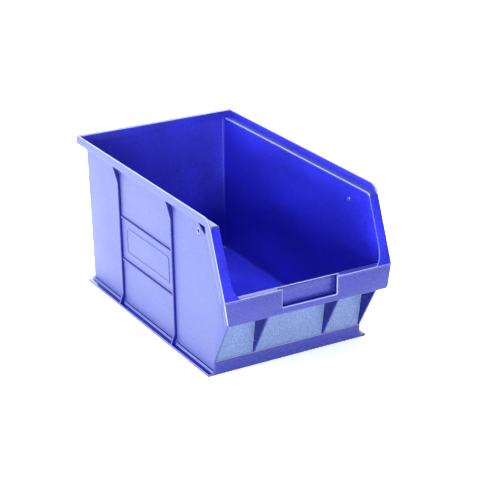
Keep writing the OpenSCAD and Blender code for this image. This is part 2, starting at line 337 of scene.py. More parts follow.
def dress(piece, material, nodes):
    """Gives a piece its finish and its place in the frame."""
    sharp_degrees = 42
    mesh = piece.data
    mesh.materials.clear()
    mesh.materials.append(material)
    mesh.shade_smooth()
    mesh.set_sharp_from_angle(angle=math.radians(sharp_degrees))
    mark_worn_and_highlit_edges(mesh)
    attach(piece, "root")
    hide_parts(*nodes)
    return piece


def make_piece(name, shapes, material, nodes):
    """A finished piece of the moulding that stands for its CAD nodes."""
    return dress(make_object(name, make_mesh(name, shapes)), material, nodes)


def sides(*names):
    """Left and right node names."""
    return [f"{name}_{side}" for name in names for side in ("left", "right")]


def paint_light_and_shade(piece, finish, chosen):
    """Gives the faces that pass the test another copy of the plastic, whose base colour paints the
    light and shade those faces get.
    """
    piece.data.materials.append(finish)
    slot = len(piece.data.materials) - 1
    for face in piece.data.polygons:
        if chosen(face.center / MM, face.normal):
            face.material_index = slot


# ---- node trees --------------------------------------------------------------------------


def add(tree, kind, links=None, **settings):
    """Adds a node: settings are its properties, links its inputs' values or sources."""
    node = tree.nodes.new(kind)
    for key, value in settings.items():
        setattr(node, key, value)
    for key, value in (links or {}).items():
        for item in value if isinstance(value, list) else [value]:
            if isinstance(item, bpy.types.NodeSocket):
                tree.links.new(item, node.inputs[key])
            else:
                node.inputs[key].default_value = item
    return node


def new_tree(name, sockets):
    """An empty geometry tree with the named inputs and one geometry output."""
    tree = bpy.data.node_groups.new(name, "GeometryNodeTree")
    for label, kind in sockets:
        tree.interface.new_socket(name=label, in_out="INPUT", socket_type=kind)
    tree.interface.new_socket(name="Geometry", in_out="OUTPUT", socket_type="NodeSocketGeometry")
    return tree


def end_tree(tree, geometry, material):
    """Ends a tree: real geometry in the given material."""
    real = add(tree, "GeometryNodeRealizeInstances", {"Geometry": geometry})
    done = add(tree, "GeometryNodeSetMaterial",
               {"Geometry": real.outputs[0], "Material": material})
    add(tree, "NodeGroupOutput", {"Geometry": done.outputs[0]})
    return tree


def band_tree():
    """Sweeps a rectangle with rounded corners along every path in the mesh."""
    tree = new_tree("rim_band", [
        ("Geometry", "NodeSocketGeometry"), ("Width", "NodeSocketFloat"),
        ("Height", "NodeSocketFloat"), ("Edge radius", "NodeSocketFloat"),
        ("Material", "NodeSocketMaterial")])
    given = add(tree, "NodeGroupInput").outputs
    path = add(tree, "GeometryNodeMeshToCurve", {"Mesh": given["Geometry"]})
    upright = add(tree, "GeometryNodeSetCurveNormal", {"Curve": path.outputs[0]}, mode="Z_UP")
    section = add(tree, "GeometryNodeCurvePrimitiveQuadrilateral",
                  {"Width": given["Width"], "Height": given["Height"]})
    soft = add(tree, "GeometryNodeFilletCurve",
               {"Curve": section.outputs[0], "Radius": given["Edge radius"], "Count": 3},
               mode="POLY")
    band = add(tree, "GeometryNodeCurveToMesh",
               {"Curve": upright.outputs[0], "Profile Curve": soft.outputs[0], "Fill Caps": True})
    return end_tree(tree, band.outputs[0], given["Material"])


def repeat_tree():
    """Repeats the mesh in a row, and can add the same row turned to the bin's other side."""
    tree = new_tree("moulded_row", [
        ("Geometry", "NodeSocketGeometry"), ("Count", "NodeSocketInt"),
        ("Step", "NodeSocketVector"), ("Both sides", "NodeSocketBool"),
        ("Turn place", "NodeSocketVector"), ("Material", "NodeSocketMaterial")])
    given = add(tree, "NodeGroupInput").outputs
    places = add(tree, "GeometryNodeMeshLine",
                 {"Count": given["Count"], "Offset": given["Step"]})
    row = add(tree, "GeometryNodeInstanceOnPoints",
              {"Points": places.outputs[0], "Instance": given["Geometry"]})
    other = add(tree, "GeometryNodeTransform",
                {"Geometry": row.outputs[0], "Translation": given["Turn place"],
                 "Rotation": (0, 0, math.pi)})
    pair = add(tree, "GeometryNodeJoinGeometry",
               {"Geometry": [other.outputs[0], row.outputs[0]]})
    chosen = add(tree, "GeometryNodeSwitch",
                 {"Switch": given["Both sides"], "False": row.outputs[0],
                  "True": pair.outputs[0]})
    return end_tree(tree, chosen.outputs[0], given["Material"])


BAND = band_tree()
ROW = repeat_tree()


def grow(name, mesh, tree, values):
    """Runs a tree on the mesh with the named input values, and keeps the plain mesh."""
    source = make_object(name + "_source", mesh)
    modifier = source.modifiers.new("grow", "NODES")
    modifier.node_group = tree
    for item in tree.interface.items_tree:
        if item.in_out == "INPUT" and item.name in values:
            modifier[item.identifier] = values[item.name]
    evaluated = source.evaluated_get(bpy.context.evaluated_depsgraph_get())
    plain = bpy.data.meshes.new_from_object(evaluated)
    source.modifiers.remove(modifier)
    bpy.data.objects.remove(source)
    plain.name = name
    return plain


def path_mesh(name, paths):
    """A mesh of edges only, one open line for each path in millimetres."""
    points, edges = [], []
    for path in paths:
        first = len(points)
        points += [tuple(c * MM for c in point) for point in path]
        edges += [(i, i + 1) for i in range(first, len(points) - 1)]
    mesh = bpy.data.meshes.new(name)
    mesh.from_pydata(points, edges, [])
    return mesh


def grow_row(name, shapes, material, nodes, count=1, step=(0, 0, 0), both=True, middle=PANEL_Y):
    """Repeats shapes centred on Y = 0 with the row tree and finishes the piece."""
    mesh = make_mesh(name, shapes)
    mesh.transform(Matrix.Translation((0, middle * MM, 0)))
    row = grow(name, mesh, ROW, {
        "Count": count, "Step": [c * MM for c in step], "Both sides": both,
        "Turn place": (0.0, 2 * PANEL_Y * MM, 0.0), "Material": material})
    return dress(make_object(name, row), material, nodes)


# ---- materials ---------------------------------------------------------------------------

# the colour sockets of a Mix node
MIX_A, MIX_B, MIX_OUT = 6, 7, 2


def colour(code):
    """sRGB hex to linear."""
    parts = [int(code[i:i + 2], 16) / 255 for i in (1, 3, 5)]
    return (*(p / 12.92 if p <= 0.04045 else ((p + 0.055) / 1.055) ** 2.4 for p in parts), 1.0)


def new_material(name):
    """An empty node material, with the place on the object that its patterns read."""
    material = bpy.data.materials.new(name)
    material.use_nodes = True
    tree = material.node_tree
    tree.nodes.clear()
    return material, tree, add(tree, "ShaderNodeTexCoord").outputs["Object"]


def polypropylene(name, body, deep, bloom, grain_mm, gloss, grain_height, sheen, rubbed_and_highlit, haze):
    """Royal blue copolymer polypropylene. The eye gets a saturated body with slow cloudy shifts
    from the melt flow, a fine spark-eroded grain, and pale worn corners, partly a painted
    highlight. Each copy's base colour is set to how its faces are lit."""
    material, tree, place = new_material(name)
    cloud_mm, streak_mm = 45, 3.5

    # melt flow: long soft clouds, drawn out along the depth of the bin
    drawn = add(tree, "ShaderNodeMapping", {"Vector": place, "Scale": (1.0, 0.35, 1.0)})
    cloud = add(tree, "ShaderNodeTexNoise", {
        "Vector": drawn.outputs[0], "Scale": 1000 / cloud_mm, "Detail": 4.0, "Roughness": 0.55})
    clouded = add(tree, "ShaderNodeValToRGB", {"Fac": cloud.outputs["Fac"]})
    for stop, at, code in zip(clouded.color_ramp.elements, (0.30, 0.72), (deep, body)):
        stop.position = at
        stop.color = colour(code)

    # mould grain: the real one is finer, and is drawn as coarse as it needs to show
    grain = add(tree, "ShaderNodeTexNoise", {
        "Vector": place, "Scale": 1000 / grain_mm, "Detail": 3.0, "Roughness": 0.6})
    speckle = add(tree, "ShaderNodeMapRange", {
        "Value": grain.outputs["Fac"], "From Min": 0.42, "From Max": 0.68,
        "To Min": 0.0, "To Max": haze})
    grained = add(tree, "ShaderNodeMix", {
        "Factor": speckle.outputs[0], MIX_A: clouded.outputs["Color"], MIX_B: colour(bloom)},
        data_type="RGBA")

    # handling scuffs: thin broken streaks
    streaks = add(tree, "ShaderNodeMapping", {"Vector": place, "Scale": (1.0, 0.12, 1.6)})
    scuff = add(tree, "ShaderNodeTexNoise", {
        "Vector": streaks.outputs[0], "Scale": 1000 / streak_mm, "Detail": 2.0})
    scuff_mask = add(tree, "ShaderNodeMapRange", {
        "Value": scuff.outputs["Fac"], "From Min": 0.62, "From Max": 0.74,
        "To Min": 0.0, "To Max": 0.04})

    # worn corners, which also carry a painted edge highlight, and scuffs go to the same pale bloom
    edge = add(tree, "ShaderNodeAttribute", attribute_name="worn_edge")
    rub_and_highlight = add(tree, "ShaderNodeMath", {0: edge.outputs["Fac"], 1: rubbed_and_highlit}, operation="MULTIPLY")
    wear_and_highlight = add(tree, "ShaderNodeMath", {0: rub_and_highlight.outputs[0], 1: scuff_mask.outputs[0]},
               operation="ADD", use_clamp=True)
    coloured = add(tree, "ShaderNodeMix", {
        "Factor": wear_and_highlight.outputs[0], MIX_A: grained.outputs[MIX_OUT], MIX_B: colour(bloom)},
        data_type="RGBA")

    # the gloss drifts with the melt flow, and scuffs are duller
    rough = add(tree, "ShaderNodeMapRange", {
        "Value": cloud.outputs["Fac"], "From Min": 0.3, "From Max": 0.7,
        "To Min": gloss - 0.05, "To Max": gloss + 0.06})
    roughened = add(tree, "ShaderNodeMath", {0: rough.outputs[0], 1: scuff_mask.outputs[0]},
                    operation="ADD")
    bump = add(tree, "ShaderNodeBump", {
        "Height": grain.outputs["Fac"], "Strength": 0.5, "Distance": grain_height * MM})
    shader = add(tree, "ShaderNodeBsdfPrincipled", {
        "Base Color": coloured.outputs[MIX_OUT], "Roughness": roughened.outputs[0],
        "IOR": 1.5, "Normal": bump.outputs[0],
        "Sheen Weight": sheen, "Sheen Roughness": 0.45, "Sheen Tint": colour("#E4ECFF")})
    add(tree, "ShaderNodeOutputMaterial", {"Surface": shader.outputs[0]})
    return material


# outside: textured in the cavity half of the mould; its greyer, paler base colour is a painted
# sheen, the pale light on the outer walls
OUTER = polypropylene(
    "outer_pale_sheen_polypropylene", "#2B307E", "#262B72", "#A0AAE6",
    grain_mm=1.6, gloss=0.45, grain_height=0.15, sheen=0.14, rubbed_and_highlit=0.16, haze=0.08)
# front wall: the coarsest texture, which hides scratches where hands reach in; its pale grey-blue
# base and bloom are a painted reflection of the bright floor in front
FRONT_FACE = polypropylene(
    "front_floor_reflection_polypropylene", "#516296", "#495A90", "#C2CEE0",
    grain_mm=1.8, gloss=0.50, grain_height=0.20, sheen=0.10, rubbed_and_highlit=0.10, haze=0.15)
# inside: drawn off the polished core, so it is smoother; its more saturated blue base is set to
# the tone the light gives the inside of the bin, painted light and shade
INNER = polypropylene(
    "inner_smooth_lit_polypropylene", "#1513BC", "#0D0B94", "#6066DC",
    grain_mm=1.8, gloss=0.40, grain_height=0.12, sheen=0.0, rubbed_and_highlit=0.06, haze=0.12)
# rim, label front and foot: smooth, with a base colour set to the tone these parts take in the
# light, and pale along the edges that hands and bins scuff, partly a painted highlight
RIM = polypropylene(
    "rim_smooth_lit_polypropylene", "#171B88", "#13177A", "#C4CAF0",
    grain_mm=1.7, gloss=0.34, grain_height=0.12, sheen=0.03, rubbed_and_highlit=0.42, haze=0.05)
# ribs, bars and gussets: cut into the mould with a tool and left bright, so they mirror what is
# round them; their darker base colour is painted shade, for these narrow faces and the nooks,
# window sides and runner tops that also take it
RIB = polypropylene(
    "rib_shaded_polypropylene", "#0B0974", "#090766", "#6A70C8",
    grain_mm=1.7, gloss=0.20, grain_height=0.02, sheen=0.0, rubbed_and_highlit=0.12, haze=0.02)

# ---- walls and floor ---------------------------------------------------------------------


def wall_ring(z):
    """Plan outline of the side and rear walls at height z: the outer run, the right tip, the
    inner run back and the left tip. Also gives the points in a run and in a tip."""
    tip_round, side_steps, corner_steps = 0.8, 7, 5
    front = wall_front(z)
    runs = []
    for inset in (0.0, WALL):
        half = side_at(z) - inset
        rear = rear_at(z) - inset
        radius = REAR_CORNER - inset
        start = max(front + 2 * tip_round, front_wall_at(z))
        arm = [(half, front + tip_round)]
        arm += [(half, start + (rear - radius - start) * i / side_steps)
                for i in range(side_steps + 1)]
        arm += corner_arc((half - radius, rear - radius), radius,
                          arc(0, QUARTER, corner_steps)[1:])
        runs.append([(-x, y) for x, y in arm] + arm[::-1])
    half, bevel = side_at(z), tip_round * (1 - math.sqrt(0.5))
    tip = [(half - bevel, front + bevel), (half - tip_round, front),
           (half - WALL + tip_round, front), (half - WALL + bevel, front + bevel)]
    outer, inner = runs
    ring = outer + tip + inner[::-1] + [(-x, y) for x, y in tip[::-1]]
    return [(x, y, z) for x, y in ring], len(outer), len(tip)


def walls():
    """Side and rear walls with a turned rear corner, in one run. The ends are U-shaped, so they
    are closed with a strip along the walls and a face over each tip."""
    lean_levels, mouth_levels = [30, 45, 60], [115, 130, 145, 158]
    levels = [0.0, 0.5, FOOT_TOP] + lean_levels + [
        APRON_LOW, APRON_TOP - 0.6, APRON_TOP - 0.4] + mouth_levels + [
        SEAT_LOW - 0.3, SEAT_TOP - 0.7]
    rings = [wall_ring(z) for z in levels]
    _, run, tip = rings[0]
    size = len(rings[0][0])
    bm = loft([ring for ring, _, _ in rings])
    ends = [f for f in bm.faces if len(f.verts) > 4]
    bmesh.ops.delete(bm, geom=ends, context="FACES_ONLY")
    bm.verts.ensure_lookup_table()
    for row in (0, len(rings) - 1):
        start = row * size
        for i in range(run - 1):
            inner = start + run + tip + run - 1 - i
            quad = [start + i, start + i + 1, inner - 1, inner]
            bm.faces.new([bm.verts[k] for k in (quad[::-1] if row else quad)])
        right = [start + run - 1 + i for i in range(tip + 2)]
        left = [start + 2 * run + tip - 1 + i for i in range(tip + 1)] + [start]
        for cap in (right, left):
            bm.faces.new([bm.verts[k] for k in cap])
    return bm


def cut_holes(piece):
    """Bores the tie hole through both side walls."""
    bm = bmesh.new()
    bmesh.ops.create_cone(
        bm, cap_ends=True, segments=40, radius1=HOLE_RADIUS, radius2=HOLE_RADIUS,
        depth=3 * HALF_WIDTH,
        matrix=Matrix.Translation((0, *HOLE)) @ Matrix.Rotation(QUARTER, 4, "Y"))
    cutter = make_object("hole_cutter", make_mesh("hole_cutter", [bm]))
    boolean = piece.modifiers.new("bore", "BOOLEAN")
    boolean.object = cutter
    boolean.solver = "EXACT"
    evaluated = piece.evaluated_get(bpy.context.evaluated_depsgraph_get())
    bored = bpy.data.meshes.new_from_object(evaluated)
    piece.modifiers.remove(boolean)
    piece.data = bored
    bpy.data.objects.remove(cutter)


def looks_inwards(place, normal):
    """True for a face that looks across the inside of the bin."""
    towards = -normal.x * place.x - normal.y * (place.y - (FRONT + REAR) / 2)
    return towards > 0 and abs(normal.z) < 0.5


def looks_sideways(place, normal):
    """How squarely a face on either side looks away from the middle of the bin."""
    return math.copysign(1.0, place.x) * normal.x


def before_front_wall(place, normal):
    """True for the inner face of a side wall's tip, in front of the front wall."""
    return (looks_inwards(place, normal) and place.z < APRON_LOW
            and place.y < front_wall_at(place.z))


def hole_bead():
    """The slightly raised, rounded mouth of a tie hole on the outer face."""
    turns = 40
    y, z = HOLE
    section = [(-0.3, 0.0), (0.25, 0.0), (0.42, 0.25), (0.42, 0.75), (0.2, 1.1), (-0.3, 1.3)]
    rings = [[(side_at(z) + x, y + (HOLE_RADIUS + r) * math.cos(a),
               z + (HOLE_RADIUS + r) * math.sin(a)) for x, r in section]
             for a in arc(0, 2 * math.pi, turns)[:-1]]
    return loft(rings, endless=True)


def floor_ring(inset, z):
    """Plan outline of the floor at height z, inset from the wall faces."""
    steps, least_radius = 5, 0.6
    half = side_at(z) - WALL + TUCK - inset
    rear = rear_at(z) - WALL + TUCK - inset
    front = FOOT_BACK - TUCK + inset
    radius = max(REAR_CORNER - WALL + TUCK - inset, least_radius)
    ring = [(-half, front), (half, front)]
    ring += corner_arc((half - radius, rear - radius), radius, arc(0, QUARTER, steps))
    ring += corner_arc((radius - half, rear - radius), radius, arc(QUARTER, QUARTER, steps))
    return [(x, y, z) for x, y in ring]


def floor_and_cove():
    """Floor panel with a cove up to the walls all round."""
    cove = 4.0
    rings = [floor_ring(0.0, floor_low.z)]
    for a in arc(0, QUARTER, 6):
        rings.append(floor_ring(TUCK + cove * (1 - math.cos(a)),
                                floor_high.z + cove * (1 - math.sin(a))))
    return loft(rings)


def floor_pad():
    """Low round pad in a rear corner of the floor."""
    low, high = node_box("floor_pad_right")
    radius = high.y - low.y
    outline = [(high.x + TUCK, high.y + TUCK), (high.x + TUCK, high.y - radius)]
    outline += corner_arc((high.x, high.y), radius, arc(math.pi, QUARTER, 10)[::-1])
    outline += [(high.x - radius, high.y + TUCK)]
    return soften(along_z(outline, low.z - TUCK, high.z), 0.4)


# ---- stacking rim ------------------------------------------------------------------------


def rear_rim():
    """Rear wall top, flange and hanging lip as one folded section."""
    hanging_low, _ = node_box("rear_hanging_lip")
    wall_low, _ = node_box("rear_rim_wall")
    wall_foot = SEAT_LOW - 1.5
    flange_low = RIM_TOP - 2.0
    section = rounded([
        (wall_low.y, wall_foot), (wall_low.y, RIM_TOP), (REAR, RIM_TOP), (REAR, hanging_low.z),
        (REAR - LIP_THICK, hanging_low.z), (REAR - LIP_THICK, flange_low),
        (REAR_TOP, flange_low), (REAR_TOP, wall_foot)], [0, 0.7, 0.9, 0.6, 0.6, 0.8, 0.8, 0])
    return along_x(section, -LIP_IN - TUCK, LIP_IN + TUCK)


def lip_mesh():
    """Side lips, swept level, round the mouth corner and down the mouth."""
    height = RIM_TOP - SEAT_LOW
    middle = height / 2
    x = (LIP_IN + HALF_WIDTH) / 2
    edge = rim_edge(middle, REAR, APRON_TOP + middle * INTO_Z)
    paths = [[(side * x, y, z) for y, z in edge] for side in (-1, 1)]
    return grow("rim_lips", path_mesh("rim_lips_path", paths), BAND, {
        "Width": LIP_THICK * MM, "Height": height * MM,
        "Edge radius": 0.8 * MM, "Material": RIM})


def flange_inside(z):
    """Inner edge of the seat and mouth flange, with the web in the lower corner of the mouth."""
    wall_inside = side_at(min(z, SEAT_LOW)) - WALL - 0.05
    climb = min(max((z - APRON_TOP) / MOUTH_CORNER_HEIGHT, 0.0), 1.0)
    return wall_inside - MOUTH_CORNER_WIDTH * (1 - math.sqrt(1 - (1 - climb) ** 2))


def flange_stations():
    """Points in Y and Z along the middle of the seat and mouth flange, each with the way its
    outer face looks: along the seat, round the fold, down the mouth and into the label front."""
    half = SEAT_THICK / 2
    level = (SEAT_LOW + SEAT_TOP) / 2
    rear = REAR_TOP - WALL + TUCK
    fold, foot = 2.2, APRON_TOP + 0.3
    corner = Vector((mouth_at(level, half), level))
    down = Vector((INTO_Z, -INTO_Y))
    start, end = corner + Vector((fold, 0)), corner + fold * down
    stations = [(Vector((rear + (start.x - rear) * i / 8, level)), Vector((0, 1)))
                for i in range(8)]
    for i in range(9):
        t = i / 8
        point = (1 - t) ** 2 * start + 2 * t * (1 - t) * corner + t * t * end
        along = (1 - t) * Vector((-1, 0)) + t * down
        stations.append((point, Vector((along.y, -along.x)).normalized()))
    mouth_levels = [160, 145, 130]
    heights = mouth_levels + [
        APRON_TOP + MOUTH_CORNER_HEIGHT * (1 - math.cos(a)) for a in arc(0, QUARTER, 12)[::-1]]
    mouth_out = Vector((-INTO_Y, -INTO_Z))
    stations += [(Vector((mouth_at(z, half), z)), mouth_out) for z in heights if z > foot]
    foot_y = mouth_at(foot, half)
    return stations + [(Vector((foot_y, foot)), Vector((-1, 0.2)).normalized()),
                       (Vector((foot_y, APRON_TOP - 1.0)), Vector((-1, 0)))]


def rim_flange():
    """Seat for the next bin and the flat mouth flange, folded from one plate. Its inner edge
    changes along the way, so it is lofted through sections and not swept."""
    half, under_lip = SEAT_THICK / 2, LIP_IN + 1.0
    rings = []
    for point, out in flange_stations():
        inside = flange_inside(point.y)
        section = rounded([(inside, -half), (under_lip, -half), (under_lip, half), (inside, half)],
                          [0.5, 0, 0, 0.6])
        rings.append([(x, point.x + out.x * rise, point.y + out.y * rise) for x, rise in section])
    return loft(rings)


def rim_corner():
    """Fills the seat level out to the turned rear corner."""
    half, rear = side_at(SEAT_LOW) - WALL, REAR_TOP - WALL
    radius = REAR_CORNER - WALL
    outline = [(half + TUCK, rear - radius), (half + TUCK, rear + TUCK),
               (half - radius, rear + TUCK)]
    outline += corner_arc((half - radius, rear - radius), radius, arc(0, QUARTER, 8)[::-1])
    return along_z(outline, SEAT_LOW, SEAT_TOP)


# ---- front -------------------------------------------------------------------------------


def front_panel():
    """Foot, front wall and scoop as one folded section between the side walls."""
    wall_foot = FOOT_Y + FOOT_STEP
    slope = (SCOOP_Z - APRON_LOW) / (BACK_IN - ELBOW_Y)
    back_top = APRON_LOW + (APRON_BACK - ELBOW_Y) * slope + WALL
    section = rounded([
        (FOOT_Y, 0.0), (FOOT_Y, FOOT_TOP), (wall_foot, FOOT_TOP), (ELBOW_Y, APRON_LOW),
        (BACK_IN, SCOOP_Z), (BACK_IN, BACK_TOP), (APRON_BACK, BACK_TOP),
        (APRON_BACK, back_top), (ELBOW_Y + WALL, APRON_LOW), (wall_foot + WALL, FOOT_TOP),
        (FOOT_BACK, FOOT_TOP - 1.0), (FOOT_BACK, 0.0)],
        [0.6, 0.6, 0.4, 2.0, 2.5, 0, 0, 5.0, 7.0, 0.5, 0.5, 0.6])

    def into_wall(z):
        return side_at(z) - WALL + 1.0
    return along_x(section, lambda z: -into_wall(z), into_wall)


def apron_face():
    """Front plate of the label front, with the label window open at the top."""
    _, rail_high = node_box("label_rail")
    low_half, high_half = apron_at(APRON_LOW), apron_at(FACE_TOP)
    outline = rounded([
        (-low_half, APRON_LOW), (low_half, APRON_LOW), (high_half, FACE_TOP),
        (LABEL_HALF, FACE_TOP), (LABEL_HALF, rail_high.z), (-LABEL_HALF, rail_high.z),
        (-LABEL_HALF, FACE_TOP), (-high_half, FACE_TOP)],
        [APRON_CORNER, APRON_CORNER, 0, 0, 1.0, 1.0, 0, 0], steps=6)
    return soften(along_y(outline, FRONT, APRON_IN), 0.8)


def apron_cap():
    """Top of the label front in one piece, notched for the label."""
    guide_low, _ = node_box("label_guide_right")
    right = [(guide_low.x, BACK_IN), (guide_low.x, APRON_IN), (LABEL_HALF, APRON_IN),
             (LABEL_HALF, FRONT), (HALF_WIDTH, FRONT), (HALF_WIDTH, APRON_BACK)]
    outline = right + [(-x, y) for x, y in right[::-1]]
    return soften(along_z(outline, APRON_TOP - LIP_THICK, APRON_TOP), 0.6)


def apron_end():
    """Return of the label front at one side, with the web that closes it to the side wall."""
    low_half, high_half = apron_at(APRON_LOW), apron_at(FACE_TOP)
    return_in = low_half - 2 * APRON_CORNER
    strip = rounded([
        (return_in, APRON_LOW), (low_half, APRON_LOW), (high_half, FACE_TOP),
        (high_half - LIP_THICK, FACE_TOP), (low_half - LIP_THICK, APRON_LOW + LIP_THICK),
        (return_in, APRON_LOW + LIP_THICK)],
        [0.5, APRON_CORNER, 0, 0, APRON_CORNER - LIP_THICK, 0.5], steps=6)
    web = rounded([
        (side_at(APRON_LOW) - WALL + TUCK, APRON_LOW), (low_half, APRON_LOW),
        (high_half, FACE_TOP), (side_at(FACE_TOP) - WALL + TUCK, FACE_TOP)],
        [0, APRON_CORNER, 0, 0], steps=6)
    return [soften(along_y(strip, APRON_IN - 1.0, APRON_BACK), 0.5),
            soften(along_y(web, BACK_IN, APRON_BACK), 0.4)]


def label_pocket():
    """Guides, shelf and back that hold the label behind its window."""
    shapes = []
    for name in ("label_guide_left", "label_guide_right", "label_shelf", "label_back"):
        low, high = node_box(name)
        reach = 0.0 if name == "label_back" else TUCK
        outline = [(low.x, low.y - reach), (high.x, low.y - reach),
                   (high.x, high.y + reach), (low.x, high.y + reach)]
        shapes.append(soften(along_z(outline, low.z, min(high.z, BACK_TOP)), 0.35))
    return shapes


def front_gusset():
    """Web between the front wall and the label front, at its place on the right."""
    outline = rounded([
        (FOOT_Y, FOOT_TOP), (APRON_BACK, APRON_LOW), (APRON_IN - TUCK, APRON_LOW),
        (APRON_IN - TUCK, SCOOP_Z), (BACK_IN + 1, SCOOP_Z + 1), (ELBOW_Y + 1, APRON_LOW + 1),
        (FOOT_Y + FOOT_STEP + 1, FOOT_TOP - 1)], [0.5, 1.0, 0, 0, 0, 0, 0])
    return soften(along_x(outline, front_gusset_low.x, front_gusset_high.x), 0.5)


# ---- outside of the side walls -----------------------------------------------------------


def off_wall(z, out):
    """A place so far out from the side wall at height z."""
    return side_at(z) + out


def flare(base, tip, half):
    """A low wedge on both sides of a rib, from a point on the wall at tip out to base."""
    root = -0.4
    wall_x = off_wall(base, root)
    reach = min(half, HALF_WIDTH - 0.3 - wall_x)
    ridge_out, ridge_side = 0.3 * reach, RIB_THICK / 2 + 0.5
    bm = bmesh.new()
    peak = bm.verts.new((off_wall(tip, root), 0, tip))
    foot = [bm.verts.new((wall_x + out, y, base)) for out, y in (
        (0, -half), (ridge_out, -ridge_side), (reach, 0), (ridge_out, ridge_side), (0, half))]
    for a, b in zip(foot, foot[1:] + foot[:1]):
        bm.faces.new((a, b, peak))
    bm.faces.new(foot)
    return soften(bm, 0.2)


def rib():
    """One rib at Y = 0, flared out to the rim above and to the runner below."""
    _, runner_high = node_box("runner_right")
    _, plinth_high = node_box("plinth_right")
    outline = rounded([
        (plinth_high.x, runner_high.z - 1), (runner_high.x, runner_high.z - 0.5),
        (off_wall(FLARE_LOW, RIB_OUT), FLARE_LOW), (off_wall(FLARE_HIGH, RIB_OUT), FLARE_HIGH),
        (HALF_WIDTH - 0.2, SEAT_LOW + 0.5), (off_wall(SEAT_LOW, -1), SEAT_LOW + 0.5),
        (off_wall(0, -ROOT), runner_high.z - 1)], [0, 0, 5, 5, 0, 0, 0])
    return [soften(along_y(outline, -RIB_THICK / 2, RIB_THICK / 2), 0.45),
            flare(SEAT_LOW + 0.3, FLARE_HIGH, FLARE_HIGH_HALF),
            flare(plinth_high.z - 0.3, FLARE_LOW, FLARE_LOW_HALF)]


def bar():
    """Lower bar between the ribs, centred on Y = 0."""
    low, high = node_box("bar_low_right")
    half = (high.y - low.y) / 2 + TUCK
    outline = rounded([
        (low.x - TUCK, low.z), (high.x, low.z), (high.x, high.z), (low.x - TUCK, high.z)],
        [0, 0.6, 0.6, 0])
    return along_y(outline, -half, half)


def panel_frame():
    """Raised border round the blank panel, centred on Y = 0."""
    low, high = node_box("panel_right")
    border, out, root = 2.2, 0.8, -0.3
    edge, mid = 0.45, 0.13
    half = (high.y - low.y) / 2

    def loop(inset, radius, x_out):
        corners = [(-half + inset, low.z + inset), (half - inset, low.z + inset),
                   (half - inset, high.z - inset), (-half + inset, high.z - inset)]
        return [(off_wall(z, x_out), y, z) for y, z in rounded(corners, radius, steps=5)]
    return loft([
        loop(0, 3.5, root), loop(0, 3.5, out - edge), loop(mid, 3.4, out - mid),
        loop(edge, 3.1, out), loop(border - edge, 1.8, out), loop(border - mid, 1.5, out - mid),
        loop(border, 1.4, out - edge), loop(border, 1.4, root)], endless=True)


def base_strip():
    """Runner and plinth along one side, centred on Y = 0."""
    low, high = node_box("runner_right")
    _, plinth_high = node_box("plinth_right")
    half, wall_x = (high.y - low.y) / 2, side_at(0) - 1
    outline = rounded([
        (wall_x, 0), (high.x, 0), (high.x, high.z), (plinth_high.x, high.z),
        (plinth_high.x, plinth_high.z), (wall_x, plinth_high.z)], [0, 0.5, 0.7, 0.8, 0.6, 0])
    return soften(along_y(outline, -half, half), 0.5)


def rim_gusset():
    """Small web under the seat beside the tie hole."""
    low, high = rim_gusset_low, rim_gusset_high
    outline = rounded([
        (off_wall(low.z, -ROOT), low.z - 0.8), (HALF_WIDTH - 0.6, SEAT_LOW + 0.4),
        (off_wall(SEAT_LOW, -ROOT), SEAT_LOW + 0.4)], [0.3, 0, 0])
    return soften(along_y(outline, low.y, high.y), 0.45)


# ---- build -------------------------------------------------------------------------------

SQUARELY = 0.8    # least part of a normal for a face that looks straight one way

shell = make_object("tub_walls", make_mesh("tub_walls", [walls()]))
cut_holes(shell)
# the walls take the paler outer copy, a painted sheen; inward faces take the inner copy, painted
# light and shade of the inside; the tips ahead of the front wall take the darker rib copy, painted
# shade in that nook
dress(shell, OUTER, ["rear_wall"] + sides("side_wall"))
paint_light_and_shade(shell, INNER, looks_inwards)
paint_light_and_shade(shell, RIB, before_front_wall)

make_piece("tie_hole_beads", both_sides([hole_bead()]), RIM, [])
# the floor takes the inner copy, painted light and shade of the inside
make_piece("tub_floor", [floor_and_cove()] + both_sides([floor_pad()]), INNER,
           ["floor_panel"] + sides("floor_pad"))
rear = make_piece("rear_rim", [rear_rim()] + both_sides([rim_corner()]), RIM,
                  ["rear_rim_wall", "rear_hanging_lip"])
# the rear rim's faces towards the inside take the inner copy, painted light and shade of the
# inside
paint_light_and_shade(rear, INNER, lambda place, normal: normal.y < -SQUARELY and place.y < REAR_TOP)

lips = dress(make_object("rim_lips", lip_mesh()), RIM, sides("rim_lip", "mouth_lip"))
# outward faces of the lips take the paler outer copy, a painted sheen; inward faces take the inner
# copy, painted light and shade of the inside
paint_light_and_shade(lips, OUTER, lambda place, normal: looks_sideways(place, normal) > SQUARELY)
paint_light_and_shade(lips, INNER, lambda place, normal: looks_sideways(place, normal) < -SQUARELY)
flanges = make_piece("rim_flanges", both_sides([rim_flange()]), RIM,
                     sides("rim_seat", "mouth_flange"))
# the mouth flange's forward faces below the seat take the deeper inner copy, painted shade beside
# the lip
paint_light_and_shade(flanges, INNER, lambda place, normal: normal.y < -0.5 and place.z < SEAT_LOW)

front = make_piece("front_panel", [front_panel()], RIM,
                   ["front_wall", "front_scoop", "scoop_edge_strip", "front_foot"])
# the front wall's outer faces take the paler front copy, a painted reflection of the floor; faces
# towards the inside take the inner copy, painted light and shade of the inside
paint_light_and_shade(front, FRONT_FACE,
         lambda place, normal: FOOT_TOP < place.z < APRON_LOW and normal.y < -0.5)
paint_light_and_shade(front, INNER, lambda place, normal: normal.y > 0.2)
make_piece("label_front", [apron_face(), apron_cap()] + both_sides(apron_end()), RIM,
           sides("apron_face", "apron_end", "apron_top") + ["label_rail"])
pocket = make_piece("label_pocket", label_pocket(), RIM,
                    sides("label_guide") + ["label_shelf", "label_back"])
